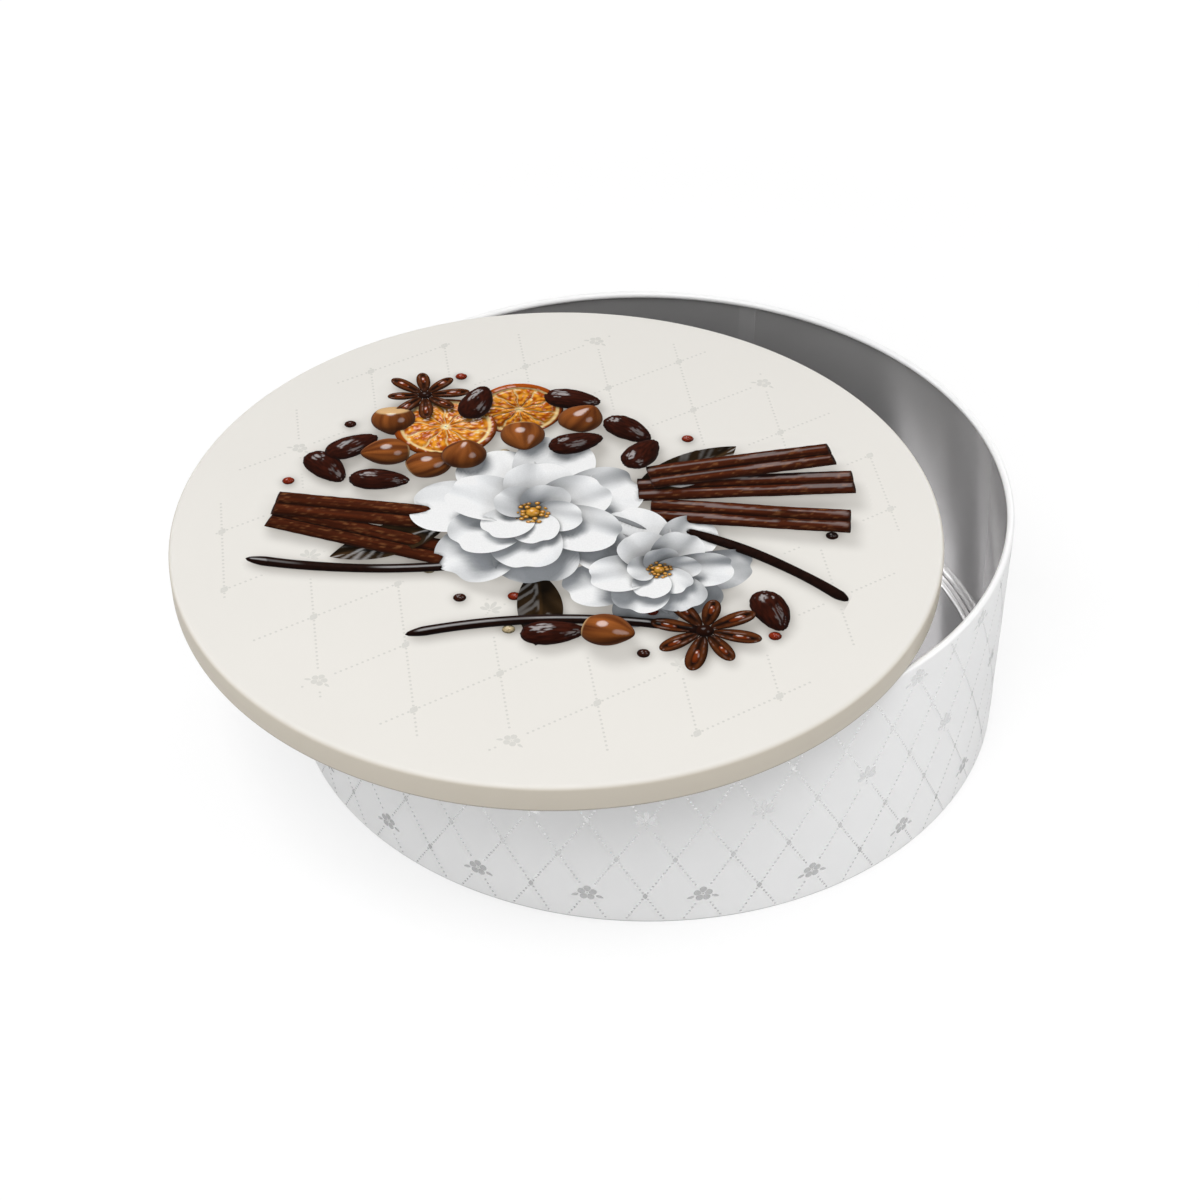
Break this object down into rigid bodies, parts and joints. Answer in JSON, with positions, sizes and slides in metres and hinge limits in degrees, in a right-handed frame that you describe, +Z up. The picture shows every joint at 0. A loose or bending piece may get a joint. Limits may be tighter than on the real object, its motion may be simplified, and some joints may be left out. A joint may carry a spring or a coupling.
{
  "type": "tin box",
  "caption": "Round tinplate keepsake box with a curled rim, a hooked foot and a shallow loose lid, shown open with the lid laid across the rim.",
  "frame": {"origin": "middle of the footprint of the open tin with its lid laid across, on the surface that the tin stands on", "axes": "+Z up, along the tin's and the lid's axes; the lid lies shifted from the tin towards -X and -Y"},
  "size_m": [0.225, 0.2276, 0.074],
  "materials": {
    "white_lacquer": "white lacquer on tinplate, satin, with a fine silver printed lattice",
    "bare_tinplate": "bare bright tinplate",
    "cream_lacquer": "warm off-white lacquer on tinplate, satin, printed"
  },
  "bodies": {
    "tin": {"body_wall": "white_lacquer", "base_disc": "bare_tinplate"},
    "lid": {"lid": "cream_lacquer"}
  },
  "joints": [
    {"name": "lid_lift", "type": "slide", "parent": "tin", "child": "lid", "axis": [0, 0, 1], "range_m": [0, 0.12]}
  ]
}
